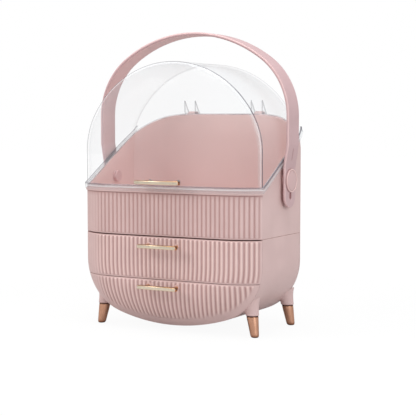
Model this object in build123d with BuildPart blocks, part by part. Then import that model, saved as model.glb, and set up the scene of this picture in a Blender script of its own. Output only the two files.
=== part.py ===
from build123d import *
import os
from functools import cache
from math import asin, atan2, cos, degrees, radians, sin, sqrt

# Dustproof makeup organizer: ribbed tray with a clear flip lid, over two drawers, on four legs.
#
# Millimetres, +Z up, front faces -Y. The origin is on the floor, below the middle of the whole.
# Depths are measured backwards from the flat front face. In front view the body is a capsule,
# a rounded bowl below and an arch above. Its front and back faces round over to a crisp crease.

os.makedirs("parts", exist_ok=True)

# ---- body form -------------------------------------------------------------------------------
half_width = 125.0            # middle to the flat side walls
body_depth = 154.0            # flat front face to flat back face
shoulder = 48.0               # how far in from the side walls the faces start to round over
front_crease = 20.0           # depth of the front crease behind the front face
back_crease = 27.0            # depth of the back crease in front of the back face
bowl_low = 7.5                # lowest point of the bowl
bowl_break = 86.0             # height at which the side walls start to round under
bowl_corner = 70.0            # radius of the bowl's corners
arch_break = 222.0            # height at which the lid's sides start to round over
arch_corner = 90.0            # radius of the arch's shoulders
arch_top = 332.0              # top of the clear lid
wall = 2.5                    # moulded walls, pink and clear alike
floor_wall = 2.5              # floors of the tray and of the upper drawer

# ---- seams -----------------------------------------------------------------------------------
tray_seam = 119.5             # underside of the tray, on top of the base shell
drawer_seam = 66.0            # middle of the gap between the two drawer fronts
seam_gap = 0.6                # gap round each drawer front
parting_front = 178.0         # height of the tray's edge up to the front crease
parting_middle = 242.0        # height of the tray's edge at the back crease
parting_back = 270.0          # height of the tray's edge at the back face
parting_round = 24.0          # radius where the level edge turns up into the slope
lid_gap = 0.4                 # lid over the tray's edge
lip_proud = 3.0               # lid's rim outside the body
lip_clear = 0.5               # rim clear of the tray's wall
lip_drop = 4.0                # rim below the tray's edge
lip_rise = 3.4                # rim above the tray's edge
lip_tail = 134.0              # depth at which the rim ends, past the tray's back crease

# ---- ribs ------------------------------------------------------------------------------------
rib_pitch = 6.03
rib_count = 42
rib_proud = 1.1               # height of a rib over the face
rib_gap = 0.5                 # flat left between two ribs
rib_root = 0.8                # how far a rib reaches into the wall
rib_margin = 1.4              # plain strip above and below the ribs
rib_foot = 9.0                # plain strip between the lowest ribs and the bowl's edge
rib_draw = 0.14               # share by which the ribs draw together at the foot of the bowl

# ---- drawers ---------------------------------------------------------------------------------
drawer_gap = 0.4              # drawer box inside the shell
drawer_wall = 2.0
drawer_end = 146.0            # depth of the outside of a drawer's back wall
mouth_depth = 6.0             # straight stretch of the shell's wall behind the drawer fronts
upper_box_top = 111.0
lower_box_top = 60.0
shelf_thickness = 2.4
shelf_gap = 0.3               # upper drawer over the shelf
ledge_height = 2.8
ledge_reach = 12.0            # ledge under the shelf, inwards from the flat side wall
ledge_front = 34.0
ledge_back = 122.0

# ---- bar handles -----------------------------------------------------------------------------
bar_reach = 17.5              # front of a bar in front of the front face
bar_depth = 7.0
bar_height = 4.6
bar_bevel = 1.4
post_radius = 2.1
post_spacing = 40.0
pad_radius = 3.6
pad_proud = 1.4               # flat pad on a ribbed face that a post stands on
lid_bar_length = 61.5
drawer_bar_length = 53.5
lid_bar_z = 186.0
upper_bar_z = 108.0
lower_bar_z = 58.0
screw_radius = 1.2
screw_bite = 8.0              # screw length inside the post
screw_head_radius = 2.3
screw_head_height = 1.8
screw_seat = 0.05             # head clear of the wall, whose inside is slightly hollow
screw_clear = 0.15            # screw in the wall, on the radius
thread_clear = 0.03           # screw in the post, on the radius

# ---- lid hinge -------------------------------------------------------------------------------
hinge_x = 50.0
hinge_out = 7.5               # hinge axis behind the back face
hinge_drop = 4.0              # hinge axis below the tray's back edge
lug_radius = 6.0
lug_width = 12.0
lug_foot = 20.0               # lug's foot on the back panel, below the axis
ear_gap = 1.0                 # ear beside the lug
ear_thickness = 2.0
ear_radius = 4.5
ear_rise = 16.0               # top of an ear above the tray's back edge
pin_radius = 1.5
pin_overhang = 1.0
pin_fit = 0.02                # pin in the lug, on the radius
pin_running = 0.06            # ear on the pin, on the radius

# ---- carry handle ----------------------------------------------------------------------------
pivot_depth = 82.5
pivot_z = 187.0
strap_width = 30.0
strap_thickness = 3.8
strap_half_span = 136.5       # outside of the strap at its widest
strap_pivot_half_span = 132.2 # outside of the strap at the pivots
strap_bend_rise = 1.5         # strap starts to lean outwards this far above the knob
strap_bend_high = 230.0       # and ends here
strap_break = 265.0           # height at which the strap starts to round over
strap_corner = 90.0           # outside radius of the strap's shoulders
strap_top = 370.0
strap_end = 154.0             # lower end of the strap
slot_length = 9.0
slot_width = 3.4
slot_depth = 1.4
slot_drop = 18.5              # slot's middle below the pivot
knob_radius = 14.5
knob_height = 2.4
knob_round = 0.9
knob_bore = 1.5               # how deep the pivot sits in the knob
pivot_radius = 4.0
pivot_fit = 0.02              # pivot in the fixed pieces, on the radius
pivot_running = 0.05          # strap on the pivot, on the radius
pivot_side_gap = 0.2          # strap beside spacer and knob
spacer_radius = 9.0
cap_radius = 7.5
cap_height = 5.0
cap_floor = 1.5

# ---- legs ------------------------------------------------------------------------------------
foot_x = 110.8
foot_front_depth = 29.7
foot_back_depth = 131.0
lean_x = 0.165                # inward lean per unit of height
lean_y = 0.06                 # lean towards the middle of the depth, per unit of height
tip_height = 26.0
tip_foot_radius = 4.4         # flat that stands on the floor
tip_low_radius = 5.5
tip_low_height = 1.6
tip_top_radius = 7.4
socket_low_radius = 7.9
socket_top_radius = 12.0
socket_top = 62.0             # the socket's cone is carried up to here inside the bowl
peg_radius = 2.5
peg_length = 8.0
peg_clear = 0.05

# ---- values that follow ----------------------------------------------------------------------
overall_depth = bar_reach + body_depth + hinge_out + lug_radius
front_y = bar_reach - overall_depth / 2
back_y = front_y + body_depth
face_flat = half_width - shoulder
beyond = 2 * strap_top        # longer than the whole, for cutting tools


def long_arc(half_span, corner, rise):
    """Radius of the arc between two corner arcs, and the angle that each corner arc turns."""
    offset = half_span - corner
    radius = (offset**2 + rise**2 - corner**2) / (2 * (rise - corner))
    return radius, degrees(atan2(radius - rise, offset))


bowl_radius, bowl_turn = long_arc(half_width, bowl_corner, bowl_break - bowl_low)
arch_radius, arch_turn = long_arc(half_width, arch_corner, arch_top - arch_break)
strap_radius, strap_turn = long_arc(strap_half_span, strap_corner, strap_top - strap_break)

# The arcs of the body's outline: centre X, centre Z, radius, start angle and angle turned.
outline_arcs = (
    (half_width - arch_corner, arch_break, arch_corner, 0, arch_turn),
    (0, arch_top - arch_radius, arch_radius, arch_turn, 180 - 2 * arch_turn),
    (arch_corner - half_width, arch_break, arch_corner, 180 - arch_turn, arch_turn),
    (bowl_corner - half_width, bowl_break, bowl_corner, 180, bowl_turn),
    (0, bowl_low + bowl_radius, bowl_radius, 180 + bowl_turn, 180 - 2 * bowl_turn),
    (half_width - bowl_corner, bowl_break, bowl_corner, 360 - bowl_turn, bowl_turn),
)


def front_plane(depth):
    """A plane that faces the front, at a depth behind the front face. Its own Y points up."""
    return Plane(origin=(0, front_y + depth, 0), x_dir=(1, 0, 0), z_dir=(0, -1, 0))


def round_over(crease):
    """Radius of the arc that rounds a face over, tangent to the face."""
    return (shoulder**2 + crease**2) / (2 * crease)


def outline_face(inset):
    """The body's outline in front view, moved inwards."""
    with BuildSketch() as face:
        with BuildLine():
            Line((half_width - inset, bowl_break), (half_width - inset, arch_break))
            Line((inset - half_width, arch_break), (inset - half_width, bowl_break))
            for x, z, radius, start, turn in outline_arcs:
                CenterArc((x, z), radius - inset, start, turn)
        make_face()
    return face.sketch


def edge_section(origin, outward, inset, crease, side):
    """What is cut off the body's edge, in a plane square to the outline.

    The plane's X points outwards and its Y points back. The side is 1 in front and -1 behind.
    """
    radius = round_over(crease)
    depth = radius - sqrt((radius - inset) ** 2 - (shoulder - inset) ** 2) - inset
    centre = (inset - shoulder, side * (radius - inset))
    half_angle = radians(degrees(asin((shoulder - inset) / (radius - inset))) / 2)
    middle = (
        centre[0] + (radius - inset) * sin(half_angle),
        centre[1] - side * (radius - inset) * cos(half_angle),
    )
    spare = shoulder - inset
    square = Vector(*outward).cross(Vector(0, 1, 0))
    with BuildSketch(Plane(origin=origin, x_dir=outward, z_dir=square)) as section:
        with BuildLine():
            ThreePointArc((0, side * depth), middle, (inset - shoulder, 0))
            Polyline(
                (inset - shoulder, 0),
                (inset - shoulder, -side * spare),
                (spare, -side * spare),
                (spare, side * depth),
                (0, side * depth),
            )
        make_face()
    return section.sketch


@cache
def body_form(inset):
    """The whole body as one solid, with every face moved inwards by the inset."""
    sides = (
        (1, front_crease, front_y + inset),
        (-1, back_crease, back_y - inset),
    )
    with BuildPart() as solid:
        with BuildSketch(front_plane(inset)):
            add(outline_face(inset))
        extrude(amount=2 * inset - body_depth)
        for side, crease, face_y in sides:
            for way in (1, -1):
                start = (way * (half_width - inset), face_y, bowl_break)
                section = edge_section(start, (way, 0, 0), inset, crease, side)
                extrude(section, amount=arch_break - bowl_break, dir=(0, 0, 1), mode=Mode.SUBTRACT)
            for x, z, radius, start_angle, turn in outline_arcs:
                outward = (cos(radians(start_angle)), 0, sin(radians(start_angle)))
                start = (
                    x + (radius - inset) * outward[0],
                    face_y,
                    z + (radius - inset) * outward[2],
                )
                section = edge_section(start, outward, inset, crease, side)
                axis = Axis((x, 0, z), (0, -1, 0))
                revolve(section, axis=axis, revolution_arc=turn, mode=Mode.SUBTRACT)
    return solid.part


def below_parting(rise):
    """Everything below the tray's sloping edge, with the edge raised."""
    with BuildPart() as solid:
        with BuildSketch(Plane.YZ.offset(-beyond)) as profile:
            with BuildLine():
                Polyline(
                    (-beyond, parting_front + rise),
                    (front_y + front_crease, parting_front + rise),
                    (back_y - back_crease, parting_middle + rise),
                    (back_y, parting_back + rise),
                    (beyond, parting_back + rise),
                    (beyond, -beyond),
                    (-beyond, -beyond),
                    close=True,
                )
            make_face()
            turns = profile.vertices().filter_by_position(
                Axis.X, front_y + front_crease - 1, front_y + front_crease + 1
            )
            fillet(turns, radius=parting_round)
        extrude(amount=2 * beyond)
    return solid.part


def depth_block(front, back):
    """Everything between two depths behind the front face."""
    with BuildPart() as solid:
        with BuildSketch(front_plane(front)):
            Rectangle(beyond, 2 * beyond)
        extrude(amount=front - back)
    return solid.part


def height_block(low, high):
    """Everything between two heights."""
    with BuildPart() as solid:
        with BuildSketch(Plane.XY.offset(low)):
            Rectangle(beyond, beyond)
        extrude(amount=high - low)
    return solid.part


# ---- ribs ------------------------------------------------------------------------------------
rib_width = rib_pitch - rib_gap
rib_places = []
for number in range(rib_count):
    along = (number - (rib_count - 1) / 2) * rib_pitch
    way = 1 if along > 0 else -1
    bend = max(abs(along) - face_flat, 0) / round_over(front_crease)
    rib_x = way * (min(abs(along), face_flat) + round_over(front_crease) * sin(bend))
    rib_depth = round_over(front_crease) * (1 - cos(bend))
    rib_places.append((rib_x, rib_depth, way * degrees(bend)))

with BuildSketch() as rib_profile:
    with BuildLine():
        ThreePointArc((-rib_width / 2, 0), (0, -rib_proud), (rib_width / 2, 0))
        Polyline(
            (rib_width / 2, 0),
            (rib_width / 2 - rib_root, rib_root),
            (rib_root - rib_width / 2, rib_root),
            (-rib_width / 2, 0),
        )
    make_face()


def upright_ribs(low, high):
    """The ribs round the front, from one height to another."""
    with BuildPart() as ribs:
        with BuildSketch(Plane.XY.offset(low)):
            for x, depth, angle in rib_places:
                with Locations(Location((x, front_y + depth), angle)):
                    add(rib_profile.sketch)
        extrude(amount=high - low)
    return ribs.part


# The lower ribs draw together on their way down, and stop short of the bowl's edge.
lower_front_top = drawer_seam - seam_gap / 2
lower_rib_top = lower_front_top - rib_margin
rib_fall = lower_rib_top - bowl_low

with BuildPart() as bowl_ribs:
    with BuildSketch(front_plane(-2 * rib_proud)):
        for x, depth, angle in rib_places:
            left_points = []
            right_points = []
            for fallen in (0, 0.2, 0.4, 0.6, 0.8, 1):
                level = lower_rib_top - fallen * rib_fall
                share = 1 - rib_draw * fallen**2
                reach = rib_width / 2 * cos(radians(angle))
                left_points.append(((x - reach) * share, level))
                right_points.append(((x + reach) * share, level))
            with BuildLine():
                Spline(left_points)
                Spline(right_points)
                Line(left_points[0], right_points[0])
                Line(left_points[-1], right_points[-1])
            make_face()
        with Locations((0, rib_foot)):
            add(outline_face(rib_margin), mode=Mode.INTERSECT)
    extrude(amount=-front_crease)
    add(body_form(-rib_proud / 2), mode=Mode.INTERSECT)
    add(body_form(rib_root), mode=Mode.SUBTRACT)

# ---- base shell ------------------------------------------------------------------------------
shelf_top = drawer_seam - seam_gap / 2
shelf_low = shelf_top - shelf_thickness
ledge_length = ledge_back - ledge_front
ledge_centre_y = front_y + (ledge_front + ledge_back) / 2
ledge_x = half_width - wall - ledge_reach / 2

with BuildPart() as ledges:
    with Locations((ledge_x, ledge_centre_y, shelf_low), (-ledge_x, ledge_centre_y, shelf_low)):
        Box(
            ledge_reach + 2 * wall,
            ledge_length,
            ledge_height,
            align=(Align.CENTER, Align.CENTER, Align.MAX),
        )
    add(body_form(wall / 2), mode=Mode.INTERSECT)

with BuildPart() as base_shell:
    add(body_form(0))
    add(body_form(wall), mode=Mode.SUBTRACT)
    # The mouth is straight, so that the drawers' boxes pass it.
    with BuildSketch(front_plane(front_crease)):
        add(outline_face(wall))
    extrude(amount=-mouth_depth, mode=Mode.SUBTRACT)
    add(height_block(0, tray_seam), mode=Mode.INTERSECT)
    add(depth_block(front_crease + seam_gap, body_depth), mode=Mode.INTERSECT)
    add(ledges.part)

base_shell.part.label = "base_shell"
export_step(base_shell.part, "parts/base_shell.step")

with BuildPart() as drawer_shelf:
    add(body_form(wall))
    add(height_block(shelf_low, shelf_top), mode=Mode.INTERSECT)
    add(depth_block(front_crease + seam_gap, body_depth), mode=Mode.INTERSECT)

drawer_shelf.part.label = "drawer_shelf"
export_step(drawer_shelf.part, "parts/drawer_shelf.step")

# ---- top tray --------------------------------------------------------------------------------
hinge_y = back_y + hinge_out
hinge_z = parting_back - hinge_drop
pivot_y = front_y + pivot_depth

with BuildPart() as tray_space:
    add(body_form(wall))
    add(height_block(tray_seam + floor_wall, arch_top), mode=Mode.INTERSECT)

with BuildPart() as top_tray:
    add(body_form(0))
    add(height_block(tray_seam, arch_top), mode=Mode.INTERSECT)
    add(below_parting(0), mode=Mode.INTERSECT)
    add(upright_ribs(tray_seam + rib_margin, parting_front - lip_drop - rib_margin))
    # two lugs on the back panel, round at the hinge axis
    for way in (-1, 1):
        with BuildSketch(Plane.YZ.offset(way * hinge_x - lug_width / 2)):
            with BuildLine():
                CenterArc((hinge_y, hinge_z), lug_radius, 0, 360)
                Line((back_y - wall, hinge_z), (back_y - wall, hinge_z - lug_foot))
            make_hull()
        extrude(amount=lug_width)
    add(tray_space.part, mode=Mode.SUBTRACT)
    with BuildSketch(Plane.YZ.offset(-beyond)):
        with Locations((hinge_y, hinge_z)):
            Circle(pin_radius + pin_fit)
        with Locations((pivot_y, pivot_z)):
            Circle(pivot_radius + pivot_fit)
    extrude(amount=2 * beyond, mode=Mode.SUBTRACT)

top_tray.part.label = "top_tray"
export_step(top_tray.part, "parts/top_tray.step")


# ---- bar handles and their screws ------------------------------------------------------------
def screw_holes(height, radius, front, back):
    """Two holes for the screws of a bar handle."""
    with BuildPart() as holes:
        with BuildSketch(front_plane(front)):
            with Locations((-post_spacing / 2, height), (post_spacing / 2, height)):
                Circle(radius)
        extrude(amount=front - back)
    return holes.part


def bar_handle(length, height, seat):
    """A bevelled bar on two posts, which stand on the seat in front of the face."""
    with BuildPart() as bar:
        with BuildSketch(front_plane(bar_depth - bar_reach)):
            with Locations((0, height)):
                Rectangle(length, bar_height)
        extrude(amount=bar_depth)
        front_edges = bar.faces().sort_by(Axis.Y)[0].edges()
        chamfer(front_edges, length=bar_bevel)
        with BuildSketch(front_plane(-seat)):
            with Locations((-post_spacing / 2, height), (post_spacing / 2, height)):
                Circle(post_radius)
        extrude(amount=bar_reach - seat - bar_depth / 2)
        add(
            screw_holes(height, screw_radius + thread_clear, -screw_bite, -seat),
            mode=Mode.SUBTRACT,
        )
    return bar.part


def bar_screws(height):
    """The two screws of a bar handle, with their heads against the inside of the wall."""
    with BuildPart() as screws:
        with Locations(front_plane(wall + screw_seat)):
            with Locations((-post_spacing / 2, height), (post_spacing / 2, height)):
                Cylinder(
                    screw_radius,
                    wall + screw_seat + screw_bite,
                    align=(Align.CENTER, Align.CENTER, Align.MIN),
                )
                Cylinder(
                    screw_head_radius,
                    screw_head_height,
                    align=(Align.CENTER, Align.CENTER, Align.MAX),
                )
    return screws.part


bars = (
    ("lid_bar", lid_bar_length, lid_bar_z, 0),
    ("upper_bar", drawer_bar_length, upper_bar_z, pad_proud),
    ("lower_bar", drawer_bar_length, lower_bar_z, pad_proud),
)
for name, length, height, seat in bars:
    bar = bar_handle(length, height, seat)
    bar.label = name
    export_step(bar, f"parts/{name}.step")
    screws = bar_screws(height)
    screws.label = f"{name}_screws"
    export_step(screws, f"parts/{name}_screws.step")

# ---- drawers ---------------------------------------------------------------------------------
box_inset = wall + drawer_gap
inner_inset = box_inset + drawer_wall


def drawer(front_low, front_high, box_low, box_high, ribs, bar_z):
    """A ribbed front that fills the shell's mouth, with an open box behind it."""
    with BuildPart() as box:
        add(body_form(box_inset))
        add(height_block(box_low, box_high), mode=Mode.INTERSECT)
        add(depth_block(front_crease / 2, drawer_end), mode=Mode.INTERSECT)
    with BuildPart() as space:
        add(body_form(inner_inset))
        add(body_form(inner_inset).moved(Location((0, wall - inner_inset, 0))))
        add(height_block(box_low + floor_wall, tray_seam), mode=Mode.INTERSECT)
        add(depth_block(0, drawer_end - drawer_wall), mode=Mode.INTERSECT)
    with BuildPart() as whole:
        add(body_form(0))
        add(height_block(front_low, front_high), mode=Mode.INTERSECT)
        add(depth_block(0, front_crease), mode=Mode.INTERSECT)
        add(ribs)
        with BuildSketch(front_plane(-pad_proud)):
            with Locations((-post_spacing / 2, bar_z), (post_spacing / 2, bar_z)):
                Circle(pad_radius)
        extrude(amount=-pad_proud - rib_root)
        add(box.part)
        add(space.part, mode=Mode.SUBTRACT)
        add(
            screw_holes(bar_z, screw_radius + screw_clear, -pad_proud - 1, wall + 1),
            mode=Mode.SUBTRACT,
        )
    return whole.part


upper_front_low = drawer_seam + seam_gap / 2
upper_front_high = tray_seam - seam_gap
with BuildPart() as upper_ribs:
    add(upright_ribs(upper_front_low + rib_margin, upper_front_high - rib_margin))
    add(body_form(-rib_proud), mode=Mode.INTERSECT)

upper_drawer = drawer(
    upper_front_low,
    upper_front_high,
    shelf_top + shelf_gap,
    upper_box_top,
    upper_ribs.part,
    upper_bar_z,
)
upper_drawer.label = "upper_drawer"
export_step(upper_drawer, "parts/upper_drawer.step")

lower_drawer = drawer(0, lower_front_top, 0, lower_box_top, bowl_ribs.part, lower_bar_z)
lower_drawer.label = "lower_drawer"
export_step(lower_drawer, "parts/lower_drawer.step")

# ---- lid -------------------------------------------------------------------------------------
with BuildPart() as lid_rim:
    add(body_form(-lip_proud))
    add(below_parting(lip_rise), mode=Mode.INTERSECT)
    add(below_parting(-lip_drop), mode=Mode.SUBTRACT)
    add(depth_block(-lip_proud, lip_tail), mode=Mode.INTERSECT)

# The tray's room under the lid. Behind the back crease nothing of the rim hangs below the edge.
with BuildPart() as tray_room:
    add(body_form(-lip_clear))
    add(depth_block(body_depth - back_crease, body_depth + lip_clear))
    add(below_parting(lid_gap), mode=Mode.INTERSECT)

with BuildPart() as lid:
    add(body_form(0))
    add(below_parting(lid_gap), mode=Mode.SUBTRACT)
    add(lid_rim.part)
    for way in (-1, 1):
        for side in (-1, 1):
            ear_x = way * hinge_x + side * (lug_width / 2 + ear_gap + ear_thickness / 2)
            with BuildSketch(Plane.YZ.offset(ear_x - ear_thickness / 2)):
                with BuildLine():
                    CenterArc((hinge_y, hinge_z), ear_radius, 0, 360)
                    Line((back_y - wall, parting_back), (back_y - wall, parting_back + ear_rise))
                make_hull()
            extrude(amount=ear_thickness)
    add(body_form(wall), mode=Mode.SUBTRACT)
    add(tray_room.part, mode=Mode.SUBTRACT)
    with BuildSketch(Plane.YZ.offset(-beyond)):
        with Locations((hinge_y, hinge_z)):
            Circle(pin_radius + pin_running)
    extrude(amount=2 * beyond, mode=Mode.SUBTRACT)
    add(
        screw_holes(lid_bar_z, screw_radius + screw_clear, -1, wall + 1),
        mode=Mode.SUBTRACT,
    )

lid.part.label = "lid"
export_step(lid.part, "parts/lid.step")

# ---- hinge pins ------------------------------------------------------------------------------
pin_length = lug_width + 2 * (ear_gap + ear_thickness + pin_overhang)
for side, way in (("left", -1), ("right", 1)):
    with BuildPart() as hinge_pin:
        with BuildSketch(Plane.YZ.offset(way * hinge_x - pin_length / 2)):
            with Locations((hinge_y, hinge_z)):
                Circle(pin_radius)
        extrude(amount=pin_length)
    hinge_pin.part.label = f"lid_hinge_pin_{side}"
    export_step(hinge_pin.part, f"parts/lid_hinge_pin_{side}.step")

# ---- carry handle ----------------------------------------------------------------------------
strap_bend_low = pivot_z + knob_radius + strap_bend_rise

with BuildPart() as carry_handle:
    with BuildSketch(front_plane(pivot_depth)):
        for inset, mode in ((0, Mode.ADD), (strap_thickness, Mode.SUBTRACT)):
            narrow = strap_pivot_half_span - inset
            wide = strap_half_span - inset
            corner_x = strap_half_span - strap_corner
            with BuildLine():
                Polyline(
                    (wide, strap_break),
                    (wide, strap_bend_high),
                    (narrow, strap_bend_low),
                    (narrow, strap_end),
                    (-narrow, strap_end),
                    (-narrow, strap_bend_low),
                    (-wide, strap_bend_high),
                    (-wide, strap_break),
                )
                CenterArc((-corner_x, strap_break), strap_corner - inset, 180 - strap_turn, strap_turn)
                CenterArc(
                    (0, strap_top - strap_radius),
                    strap_radius - inset,
                    strap_turn,
                    180 - 2 * strap_turn,
                )
                CenterArc((corner_x, strap_break), strap_corner - inset, 0, strap_turn)
            make_face(mode=mode)
    extrude(amount=strap_width / 2, both=True)
    with BuildSketch(Plane.YZ.offset(-beyond)):
        with Locations((pivot_y, strap_end + strap_width / 2)):
            Circle(strap_width / 2)
            Rectangle(strap_width, beyond, align=(Align.CENTER, Align.MIN))
    extrude(amount=2 * beyond, mode=Mode.INTERSECT)
    with BuildSketch(Plane.YZ.offset(-beyond)):
        with Locations((pivot_y, pivot_z)):
            Circle(pivot_radius + pivot_running)
    extrude(amount=2 * beyond, mode=Mode.SUBTRACT)
    for way in (-1, 1):
        with BuildSketch(Plane.YZ.offset(way * (strap_pivot_half_span - slot_depth))):
            with Locations((pivot_y, pivot_z - slot_drop)):
                SlotOverall(slot_length, slot_width, rotation=90)
        extrude(amount=way * wall, mode=Mode.SUBTRACT)

carry_handle.part.label = "carry_handle"
export_step(carry_handle.part, "parts/carry_handle.step")

# ---- handle pivots, the same on both sides ---------------------------------------------------
strap_inner_x = strap_pivot_half_span - strap_thickness
knob_x = strap_pivot_half_span + pivot_side_gap
inner_wall_x = half_width - wall
cap_x = inner_wall_x - cap_height
pivot_inner_x = cap_x + cap_floor

for side, way in (("left", -1), ("right", 1)):
    with BuildPart() as handle_pivot:
        with BuildSketch(Plane.YZ.offset(way * pivot_inner_x)):
            with Locations((pivot_y, pivot_z)):
                Circle(pivot_radius)
        extrude(amount=way * (knob_x + knob_bore - pivot_inner_x))
    handle_pivot.part.label = f"handle_pivot_{side}"
    export_step(handle_pivot.part, f"parts/handle_pivot_{side}.step")

    with BuildPart() as pivot_spacer:
        with BuildSketch(Plane.YZ.offset(way * half_width)):
            with Locations((pivot_y, pivot_z)):
                Circle(spacer_radius)
                Circle(pivot_radius + pivot_fit, mode=Mode.SUBTRACT)
        extrude(amount=way * (strap_inner_x - pivot_side_gap - half_width))
    pivot_spacer.part.label = f"pivot_spacer_{side}"
    export_step(pivot_spacer.part, f"parts/pivot_spacer_{side}.step")

    with BuildPart() as pivot_knob:
        with BuildSketch(Plane.YZ.offset(way * knob_x)):
            with Locations((pivot_y, pivot_z)):
                Circle(knob_radius)
        extrude(amount=way * knob_height)
        outer_face = pivot_knob.faces().sort_by(Axis.X)[-1 if way > 0 else 0]
        fillet(outer_face.edges(), radius=knob_round)
        with BuildSketch(Plane.YZ.offset(way * knob_x)):
            with Locations((pivot_y, pivot_z)):
                Circle(pivot_radius + pivot_fit)
        extrude(amount=way * knob_bore, mode=Mode.SUBTRACT)
    pivot_knob.part.label = f"pivot_knob_{side}"
    export_step(pivot_knob.part, f"parts/pivot_knob_{side}.step")

    with BuildPart() as pivot_cap:
        with BuildSketch(Plane.YZ.offset(way * cap_x)):
            with Locations((pivot_y, pivot_z)):
                Circle(cap_radius)
        extrude(amount=way * cap_height)
        inner_face = pivot_cap.faces().sort_by(Axis.X)[0 if way > 0 else -1]
        fillet(inner_face.edges(), radius=knob_round)
        with BuildSketch(Plane.YZ.offset(way * pivot_inner_x)):
            with Locations((pivot_y, pivot_z)):
                Circle(pivot_radius + pivot_fit)
        extrude(amount=way * cap_height, mode=Mode.SUBTRACT)
    pivot_cap.part.label = f"pivot_cap_{side}"
    export_step(pivot_cap.part, f"parts/pivot_cap_{side}.step")

# ---- legs ------------------------------------------------------------------------------------
rows = (("front", foot_front_depth, 1), ("back", foot_back_depth, -1))
for row, depth, inward in rows:
    for side, way in (("left", -1), ("right", 1)):

        def leg_plane(height):
            """A level plane, centred on the leaning leg."""
            x = way * (foot_x - lean_x * height)
            y = front_y + depth + inward * lean_y * height
            return Plane.XY.offset(height).move(Location((x, y, 0)))

        with BuildPart() as leg_tip:
            levels = (
                (0, tip_foot_radius),
                (tip_low_height, tip_low_radius),
                (tip_height, tip_top_radius),
            )
            for height, radius in levels:
                with BuildSketch(leg_plane(height)):
                    Circle(radius)
            loft(ruled=True)
            for height in (tip_height, tip_height + peg_length):
                with BuildSketch(leg_plane(height)):
                    Circle(peg_radius)
            loft()
        leg_tip.part.label = f"leg_tip_{row}_{side}"
        export_step(leg_tip.part, f"parts/leg_tip_{row}_{side}.step")

        with BuildPart() as leg_socket:
            for height, radius in ((tip_height, socket_low_radius), (socket_top, socket_top_radius)):
                with BuildSketch(leg_plane(height)):
                    Circle(radius)
            loft()
            for height in (tip_height, tip_height + peg_length + peg_clear):
                with BuildSketch(leg_plane(height)):
                    Circle(peg_radius + peg_clear)
            loft(mode=Mode.SUBTRACT)
            add(body_form(0), mode=Mode.SUBTRACT)
        leg_socket.part.label = f"leg_socket_{row}_{side}"
        export_step(leg_socket.part, f"parts/leg_socket_{row}_{side}.step")
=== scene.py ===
from math import acos, asin, atan2, cos, pi, radians, sin

import bmesh
import bpy
import numpy as np
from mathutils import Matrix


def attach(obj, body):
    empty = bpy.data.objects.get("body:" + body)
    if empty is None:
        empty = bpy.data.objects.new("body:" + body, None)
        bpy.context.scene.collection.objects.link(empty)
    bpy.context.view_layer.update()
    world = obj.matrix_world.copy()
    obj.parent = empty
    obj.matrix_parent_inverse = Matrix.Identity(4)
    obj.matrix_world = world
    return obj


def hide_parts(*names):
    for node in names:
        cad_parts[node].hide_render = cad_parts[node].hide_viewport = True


# Dustproof makeup organizer: the looks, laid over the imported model. Sizes are in millimetres,
# and a mesh is scaled to metres when it is made. X points right, Y back and Z up.

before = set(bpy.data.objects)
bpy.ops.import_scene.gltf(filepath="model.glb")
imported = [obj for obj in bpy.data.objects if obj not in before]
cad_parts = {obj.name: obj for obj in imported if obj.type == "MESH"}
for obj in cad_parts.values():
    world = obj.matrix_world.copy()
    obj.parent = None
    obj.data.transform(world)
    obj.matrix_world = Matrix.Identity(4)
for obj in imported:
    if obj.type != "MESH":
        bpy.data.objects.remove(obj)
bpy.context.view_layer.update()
scene = bpy.context.scene
MM = 0.001

# ---- sizes, the same as the solid model's ----
half_width = 125.0
front_y = -75.0
body_depth = 154.0
back_y = front_y + body_depth
shoulder = 48.0
front_crease = 20.0
back_crease = 27.0
bowl_low, bowl_break, bowl_corner = 7.5, 86.0, 70.0
arch_top, arch_break, arch_corner = 332.0, 222.0, 90.0
wall = 2.5
tray_seam = 119.5
drawer_seam = 66.0
seam_gap = 0.6
parting_points = ((-75.0, 178.0), (-55.0, 178.0), (52.0, 242.0), (79.0, 270.0))
rib_pitch, rib_count, rib_proud, rib_gap, rib_margin = 6.03, 42, 1.1, 0.5, 1.4
rib_foot, rib_draw = 9.0, 0.14
hinge_x, hinge_y, hinge_z = 50.0, 86.5, 266.0
pivot_y, pivot_z = 7.5, 187.0


def arc_between(half_span, corner, rise):
    """Radius of the long arc between two corner arcs, and the angle that a corner arc turns."""
    offset = half_span - corner
    radius = (offset**2 + rise**2 - corner**2) / (2 * (rise - corner))
    return radius, atan2(radius - rise, offset)


bowl_radius, bowl_turn = arc_between(half_width, bowl_corner, bowl_break - bowl_low)
arch_radius, arch_turn = arc_between(half_width, arch_corner, arch_top - arch_break)
# Each end of the outline: its way, where the side ends, both arcs, the turn between, its end.
bowl_end = (-1, bowl_break, bowl_corner, bowl_radius, bowl_turn, bowl_low)
arch_end = (1, arch_break, arch_corner, arch_radius, arch_turn, arch_top)


# ---- the body's form ----
def half_width_at(z, inset):
    """Half the width of the outline, moved inwards by the inset, at each height.

    A long arc, a corner arc, an upright side, a corner arc and a long arc follow each other.
    """
    z = np.asarray(z, float)
    width = np.full(z.shape, half_width - inset)
    for way, level, corner, radius, turn, end in (bowl_end, arch_end):
        over = way * (z - level)
        arc = corner - inset
        in_corner = (half_width - corner) + np.sqrt(np.maximum(arc**2 - over**2, 0))
        rise = way * (z - (end - way * radius))
        in_long = np.sqrt(np.maximum((radius - inset) ** 2 - rise**2, 0))
        past = over > arc * sin(turn)
        width = np.where(over > 0, np.where(past, in_long, in_corner), width)
    return width


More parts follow.
